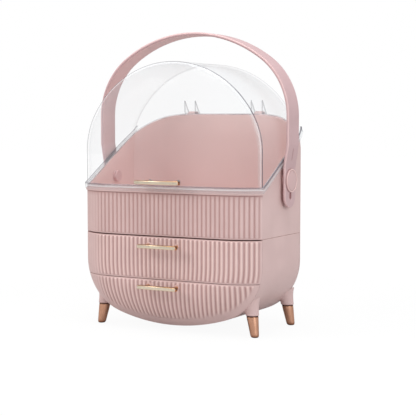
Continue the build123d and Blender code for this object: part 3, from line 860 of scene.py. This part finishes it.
def both_walls(piece, outer, inner, mark=0.0):
    """Both halves of a wall: two skins, and the strips along their tops and front ends."""
    top = np.stack([outer[0], inner[0]])
    front_end = np.stack([outer[:, 0], inner[:, 0]], axis=1)
    piece.halves((outer, mark), (inner, 0), (top, 0), (front_end, 0))


def build_shell():
    """The housing: two skins from its open front round the sides, the bowl and the back."""
    piece = Piece("shell_body")
    skins = []
    for inset in (0.0, wall):
        back = pillow_columns(inset, back_crease, back_y, -1, 15)
        y_front = front_y + front_crease + seam_gap
        skins.append(side_and_back(inset, y_front, 14, back, tray_seam, seam_rows))
    seam = np.zeros((len(seam_rows), 1))
    # painted shade just under the tray's seam, then a row of painted highlight
    seam[:4, 0] = 0.9, 0.5, -0.3, 0.0
    both_walls(piece, *skins, seam)
    for way in (-1, 1):
        ledge = np.array([(-41.0, 60.5), (47.0, 60.5), (47.0, 63.3), (-41.0, 63.3)])
        reach = float(half_width_at(np.array(62.0), wall / 2))
        low, high = sorted((way * 110.5, way * reach))
        piece.grid(rounded_plate(ledge, low, high, 0.3), close_columns=True)
    piece.make(pink, "base", ["base_shell"], merge=0.02)


# ---- drawer boxes ----
def box_skin(inset, top, low, back_end):
    """One skin of a drawer's box, right half: open at the front, following the form behind."""
    back = pillow_columns(inset, back_crease, back_y, -1, 40)
    back = [(s, y) for s, y in back if y < back_end]
    back.append((back[-1][0] + 0.3, back_end))
    rows = np.linspace(0, 1, 44)
    skin = side_and_back(inset, front_y + wall + 0.5, 10, back, top, rows)
    skin[:, :, 2] = np.maximum(skin[:, :, 2], low)
    return skin


def fitted_box(piece, inset, thickness, top, low, floor, back_end):
    """An open box with thick walls, its front ends tucked into the drawer's front."""
    outer = box_skin(inset, top, low, back_end)
    inner = box_skin(inset + thickness, top, low + floor, back_end - thickness)
    for skin in (outer, inner):
        inside = distance_inside(skin[:, :, 0], skin[:, :, 2])
        face = front_y + pillow_depth(inside, 0.6, front_crease)
        skin[:, :, 1] = np.maximum(skin[:, :, 1], face)
    both_walls(piece, outer, inner)


def build_drawers():
    """Both drawers: a ribbed front, a box behind it, and pads that the bar's posts stand on."""
    # each drawer's seam_shade is the painted shade along its front's top seam
    for name, low, high, seam_shade, foot, box_top, box_low, box_floor, bar_height in (
        ("upper_drawer", upper_low, upper_high, 0.9, None, 111.0, 66.0, 2.5, 108.0),
        ("lower_drawer", bowl_low, lower_high, 0.5, rib_foot, 60.0, 0.0, 0.0, 58.0),
    ):
        piece = Piece(f"{name}_body")
        front_cap(piece, low, high, seam_shade, foot)
        fitted_box(piece, 2.9, 2.0, box_top, box_low, box_floor, front_y + 146.0)
        pads(piece, bar_height)
        piece.make(pink, name, [name], merge=0.02)


def turned(profile, centre, axis, count=64):
    """A turned shape: radius and reach along an axis, carried round it. The ends are closed."""
    profile = np.asarray(profile, float)
    angle = np.linspace(0, 2 * pi, count, endpoint=False)
    ring = np.stack([np.cos(angle), np.sin(angle)], axis=1)
    points = np.zeros((len(profile), count, 3))
    others = [i for i in range(3) if i != axis]
    points[:, :, others[0]] = profile[:, :1] * ring[None, :, 0]
    points[:, :, others[1]] = profile[:, :1] * ring[None, :, 1]
    points[:, :, axis] = profile[:, 1:2]
    return points + np.asarray(centre, float)


post_x = 20.0


def pads(piece, height):
    """Round pads under the posts of a bar handle."""
    for way in (-1, 1):
        profile = [(0, 0.9), (3.6, 0.9), (3.6, -1.1), (3.3, -1.4), (0, -1.4)]
        pad = turned(profile, (way * post_x, front_y, height), 1, 32)
        piece.grid(pad, close_columns=True)


# ---- carry handle ----
strap_half_span, strap_pivot_span, strap_thick = 136.5, 132.2, 3.8
strap_break, strap_corner, strap_top, strap_end, strap_width = 265.0, 90.0, 370.0, 154.0, 30.0
bend_low, bend_high = 203.0, 230.0
strap_radius, strap_turn = arc_between(strap_half_span, strap_corner, strap_top - strap_break)
strap_edge = 1.3
# Slots in the strap: height from the pivot, half length, radius, depth pressed in, and painted
# shade.
slots = ((-18.3, 1.7, 3.0, 1.6, 1.3), (32.0, 6.0, 1.7, 0.25, 0.4))


def strap_path():
    """The outside of the strap from its lower end to the top middle, with outward normals.

    An upright, a slant over the bend, an upright, a corner arc and half of the long arc.
    """
    low = np.linspace(strap_end, pivot_z - 24, 60)
    rise = np.concatenate([low, np.linspace(pivot_z - 23.5, strap_break - 0.5, 110)])
    lean = np.clip((rise - bend_low) / (bend_high - bend_low), 0, 1)
    side = strap_pivot_span + (strap_half_span - strap_pivot_span) * lean
    corner_centre = (strap_half_span - strap_corner, strap_break)
    corner = arc_at(corner_centre, strap_corner, np.linspace(0, strap_turn, 50))
    angle = np.linspace(strap_turn, pi / 2, 40)[1:]
    top = arc_at((0.0, strap_top - strap_radius), strap_radius, angle)
    path = np.vstack([np.stack([side, rise], axis=1), corner, top])
    along = np.concatenate([[0], np.cumsum(np.linalg.norm(np.diff(path, axis=0), axis=1))])
    ahead = np.gradient(path, along, axis=0)
    ahead /= np.linalg.norm(ahead, axis=1)[:, None]
    ahead[-1] = (-1, 0)
    ahead[: len(low)] = (0, 1)
    return path, np.stack([ahead[:, 1], -ahead[:, 0]], axis=1)


def strap_section():
    """The strap's section: Y as a share of the half width, depth, and the edge's draw."""
    edge = [(-1, strap_thick / 2, 0.0), (-1, strap_edge, 0.0)]
    edge += [(-1, strap_edge * 0.35, 0.35), (-1, 0.0, 1.0)]
    other_edge = [(-y, d, e) for y, d, e in edge[::-1]]
    outer, inner = (
        edge + [(s, 0.0, 1.0) for s in np.linspace(-1, 1, count)[1:-1]] + other_edge
        for count in (46, 12)
    )
    inner = [(-y, strap_thick - d, e) for y, d, e in inner]
    return np.array(outer + inner[1:-1]).T


def build_handle():
    """The strap: a flat section with rolled edges, carried along the arch, round at its ends."""
    path, normal = strap_path()
    share, depth, draw = strap_section()
    half_strap = strap_width / 2
    short = half_strap - np.minimum(path[:, 1] - strap_end, half_strap)
    half = np.where(short > 0, np.sqrt(np.maximum(half_strap**2 - short**2, 0.04)), half_strap)
    reach = np.maximum(half[:, None] - strap_edge * draw, 0.0)
    points = np.stack([
        path[:, :1] - depth * normal[:, :1],
        pivot_y + share * reach,
        path[:, 1:] - depth * normal[:, 1:],
    ], axis=-1)
    # the rolled edges get a painted highlight and the inside face painted light
    marks = np.where((draw < 1) & (depth < strap_thick / 2), -0.7, 0.0)
    marks = np.where(depth == strap_thick, -0.9, marks) + np.zeros(reach.shape)
    # a slot is pressed into the outside below the knob, and a faint one above it, each with
    # painted shade in it
    y, z = points[:, :, 1] - pivot_y, points[:, :, 2]
    for level, half_slot, radius, press, shade in slots:
        slot = np.hypot(y, np.maximum(np.abs(z - pivot_z - level) - half_slot, 0)) - radius
        inside = np.where(depth == 0, np.clip(-slot / 0.5, 0, 1), 0)
        points[:, :, 0] -= inside * press
        marks += inside * shade
    piece = Piece("handle_strap")
    tip = points[0]
    tip = np.stack([tip, np.broadcast_to(tip.mean(axis=0), tip.shape)])
    piece.halves((points, marks), (tip, 0), close_columns=True)
    piece.make(pink_strap, "carry_handle", ["carry_handle"], merge=0.02)


# The knob's section: radius, height over its foot, and painted light: painted shade in the ring
# and at the edge, a painted highlight on the rim.
knob_foot = 132.4
knob_section = np.array([
    (0, 2.35, 0), (4, 2.33, 0), (8, 2.22, 0), (11.0, 2.02, 0), (11.8, 1.9, 0.1), (12.2, 1.6, 0.5),
    (12.6, 1.6, 0.5), (12.9, 2.0, -0.9), (13.5, 2.2, -1.0), (13.9, 2.0, -0.6), (14.3, 1.6, 0.0),
    (14.5, 1.1, 0.3), (14.5, 0.0, 0.7), (0, 0.0, 0.7),
])


def build_knobs():
    """The pivot knobs: a slightly domed disc with a shallow ring and a rounded edge."""
    radius, height, painted_light = knob_section.T
    for side, way in (("left", -1), ("right", 1)):
        profile = np.column_stack([radius, way * (knob_foot + height)])
        piece = Piece(f"knob_{side}")
        knob = turned(profile, (0, pivot_y, pivot_z), 0, 96)
        piece.grid(knob, close_columns=True, mark=painted_light[:, None])
        piece.make(pink_button, "base", [f"pivot_knob_{side}"], angle=50)


# ---- bars ----
bar_front, bar_depth, bar_half_height, bar_edge = front_y - 17.5, 7.0, 2.3, 0.9


def build_bar(name, body, length, height, seat):
    """A bar handle: a bar with eased edges along X, on two round posts.

    Its front face gets a painted highlight, between painted shade along the top and a warm painted
    shade along the lower edge; the posts get a little painted shade.
    """
    piece = Piece(name)
    low, high = bar_edge - bar_half_height, bar_half_height - bar_edge
    near, far = bar_front + bar_edge, bar_front + bar_depth - bar_edge
    section, painted_light = [], []
    for y, z, start, first, last in ((far, high, 0, 0.9, 0.75), (near, high, 90, 1.0, -0.4),
                                     (near, low, 180, -0.4, 0.45), (far, low, 270, 0.45, 0.8)):
        section.append(arc_points((y, height + z), bar_edge, start, start + 90, 6))
        painted_light.append(np.linspace(first, last, 6))
    section = np.vstack(section)
    middle = section.mean(axis=0)
    rows = []
    for share, size in ((-1, 0.0), (-1, 0.80), (-0.994, 0.94), (-0.984, 1.0), (0.984, 1.0),
                        (0.994, 0.94), (1, 0.80), (1, 0.0)):
        ring = middle + (section - middle) * size
        rows.append(np.column_stack([np.full(len(ring), share * length / 2), ring]))
    piece.grid(np.array(rows), close_columns=True, mark=np.concatenate(painted_light)[None, :])
    for way in (-1, 1):
        profile = [(0, 0.0), (2.1, 0.0), (2.1, seat - 13.5), (0, seat - 13.5)]
        post = turned(profile, (way * post_x, front_y - seat, height), 1, 32)
        piece.grid(post, close_columns=True, mark=0.25)
    piece.make(gold, body, [name], angle=50)


# ---- legs ----
foot_x, lean_x, lean_y, tip_top = 110.8, 0.165, 0.06, 25.6
leg_ring_count = 48
# The tip's section: radius, height and painted shade, darkest at the rounded end and under the
# socket. The socket's foot: height and radius.
tip_section = np.array([
    (0, 0, 1), (2.9, 0, 1), (3.7, 0.2, 1), (4.4, 0.7, 0.9), (4.9, 1.6, 0.6), (5.2, 2.8, 0.25),
    (5.4, 4.5, 0), (7.2, 24.2, 0), (7.2, 25.0, 0.8), (7.1, 25.4, 1), (6.9, tip_top, 1),
    (0, tip_top, 1),
])
socket_foot = ((26.2, 7.2), (26.35, 7.75), (26.8, 8.05), (27.6, 8.1))
socket_shares = (0.15, 0.35, 0.55, 0.7, 0.82, 0.91, 1.0)


def socket_radius(z):
    """Radius of a leg socket's cone at each height."""
    low, radius = socket_foot[-1]
    return radius + (z - low) * 0.105


def leg_round(leg, z, radius):
    """Rings round a leaning leg, at each height and radius."""
    way, depth, inward = leg
    z, radius = np.asarray(z, float), np.asarray(radius, float)
    x, y = way * (foot_x - lean_x * z), front_y + depth + inward * lean_y * z
    angle = np.linspace(0, 2 * pi, leg_ring_count, endpoint=False)
    ring = np.stack([np.cos(angle), np.sin(angle), 0 * angle], axis=1)
    return np.stack([x, y, z], axis=-1) + radius[..., None] * ring


def leg_socket(leg):
    """Rings of a socket, from its foot up until each side is inside the bowl's wall."""
    low, high = np.full(leg_ring_count, 27.0), np.full(leg_ring_count, 70.0)
    for _ in range(30):
        level = (low + high) / 2
        around = leg_round(leg, level, socket_radius(level))
        inside = distance_inside(around[:, 0], around[:, 2]) > 1.2
        high = np.where(inside, level, high)
        low = np.where(inside, low, level)
    same = np.ones(leg_ring_count)
    rows = [leg_round(leg, socket_foot[0][0] * same, 0 * same)]
    rows += [leg_round(leg, z * same, radius * same) for z, radius in socket_foot]
    foot = socket_foot[-1][0]
    for share in socket_shares:
        z = foot + (high - foot) * share
        flare = 1.9 * max(share - 0.35, 0) ** 2 / 0.65**2
        rows.append(leg_round(leg, z, socket_radius(z) + flare))
    return np.array(rows)


def build_legs():
    """Four legs: a metal tip with a rounded end, and a pink socket that flares into the bowl."""
    radius, z, painted_light = tip_section.T[:, :, None]
    # painted shade on the socket's foot, where it meets the tip
    seam_shade = np.array([0.9, 0.9, 0.9, 0.4, 0] + [0] * len(socket_shares))[:, None]
    for row, depth, inward in (("front", 29.7, 1), ("back", 131.0, -1)):
        for side, way in (("left", -1), ("right", 1)):
            leg = (way, depth, inward)
            tip = Piece(f"leg_tip_{row}_{side}_metal")
            tip.grid(leg_round(leg, z, radius), close_columns=True, mark=painted_light)
            tip.make(copper, "base", [f"leg_tip_{row}_{side}"], angle=50)
            rings = leg_socket(leg)
            socket = Piece(f"leg_socket_{row}_{side}_pink")
            socket.grid(rings, close_columns=True, mark=seam_shade)
            middle = np.broadcast_to(rings[-1].mean(axis=0), rings[-1].shape)
            socket.grid(np.stack([rings[-1], middle]), close_columns=True)
            socket.make(pink, "base", [f"leg_socket_{row}_{side}"], angle=50)


# ---- make everything ----
build_tray()
build_drawers()
build_shell()
build_lid()
build_handle()
build_knobs()
build_bar("lid_bar", "lid", 61.5, 185.3, 0.0)
build_bar("upper_bar", "upper_drawer", 53.5, 107.5, 1.4)
build_bar("lower_bar", "lower_drawer", 53.5, 57.5, 1.4)
build_legs()

# Solid pieces that show as they are, in plainer finishes.
for finish, names in (
    (pink, "drawer_shelf pivot_spacer_left pivot_spacer_right"),
    (pink_button, "pivot_cap_left pivot_cap_right"),
    (steel, "handle_pivot_left handle_pivot_right lid_hinge_pin_left lid_hinge_pin_right"),
    (steel, "lid_bar_screws upper_bar_screws lower_bar_screws"),
):
    for name in names.split():
        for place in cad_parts[name].material_slots:
            place.material = finish.material

# ---- studio ----
camera = bpy.data.objects.new("camera", bpy.data.cameras.new("camera"))
camera.data.lens = 102.81
camera.data.sensor_width = 36.0
camera.location = (0.7486, -1.3051, 0.2627)
camera.rotation_euler = (radians(85.68), 0.0, radians(29.14))
scene.collection.objects.link(camera)
scene.camera = camera


def soft_lamp(name, place, target, size, power, colour=(1, 1, 1)):
    """A square area lamp that faces a point."""
    lamp = bpy.data.lights.new(name, "AREA")
    lamp.shape = "SQUARE"
    lamp.size = size
    lamp.energy = power
    lamp.color = colour
    item = bpy.data.objects.new(name, lamp)
    item.location = place
    aim = np.array(target) - np.array(place)
    aim /= np.linalg.norm(aim)
    item.rotation_euler = (acos(-aim[2]), 0.0, atan2(aim[1], aim[0]) - pi / 2)
    scene.collection.objects.link(item)


soft_lamp("key", (-1.3, -1.3, 1.3), (0, 0, 0.18), 0.8, 13.0, (1.0, 0.97, 0.94))
soft_lamp("fill", (1.6, -0.7, 0.7), (0, 0, 0.18), 1.0, 9.4, (0.88, 0.98, 1.0))
soft_lamp("top", (0.1, -0.2, 1.7), (0, 0, 0.2), 1.0, 14.5)

world = bpy.data.worlds.new("studio")
scene.world = world
world.use_nodes = True
# white where it is seen, dimmer as a light
sky = Graph(world.node_tree)
seen = sky.node("ShaderNodeLightPath", {}, out="Is Camera Ray")
seen = seen.at_least(sky.node("ShaderNodeLightPath", {}, out="Is Transmission Ray"))
background = sky.tree.nodes["Background"]
background.inputs["Color"].default_value = (1, 1, 1, 1)
sky_light, floor_glow, shadow_floor = 0.62, 1.04, 0.90
strength = sky.node("ShaderNodeMapRange", {}, seen, 0.0, 1.0, sky_light, 1.0)
sky.plug(background.inputs["Strength"], strength)

floor_mesh = bpy.data.meshes.new("floor")
reach = 6.0
corners = [(-reach, -reach, 0), (reach, -reach, 0), (reach, reach, 0), (-reach, reach, 0)]
floor_mesh.from_pydata(corners, [], [(0, 1, 2, 3)])
floor = bpy.data.objects.new("floor", floor_mesh)
scene.collection.objects.link(floor)
grey = (0.55, 0.55, 0.55, 1)
ground = Finish("pale_floor", "floor", Base_Color=grey, Roughness=0.9, Specular_IOR_Level=0.1)
# the shadow's share of the floor ends a metre out, so that the floor meets the world unseen
where = ground.node("ShaderNodeTexCoord", {}, out="Object")
distance = ground.node("ShaderNodeVectorMath", {"operation": "LENGTH"}, where, out="Value")
settings = {"interpolation_type": "SMOOTHSTEP"}
share = ground.node("ShaderNodeMapRange", settings, distance, 0.4, 1.0, shadow_floor, 1.0)
share = ground.node("ShaderNodeLightPath", {}, out="Is Camera Ray") * share
glow = ground.node("ShaderNodeEmission", {}, Strength=floor_glow)
lit = Wire(ground, ground.shader.outputs[0])
ground.plug(
    ground.tree.nodes["Material Output"].inputs[0],
    ground.node("ShaderNodeMixShader", {}, share, lit, glow),
)
floor_mesh.materials.append(ground.material)

scene.view_settings.view_transform = "Standard"
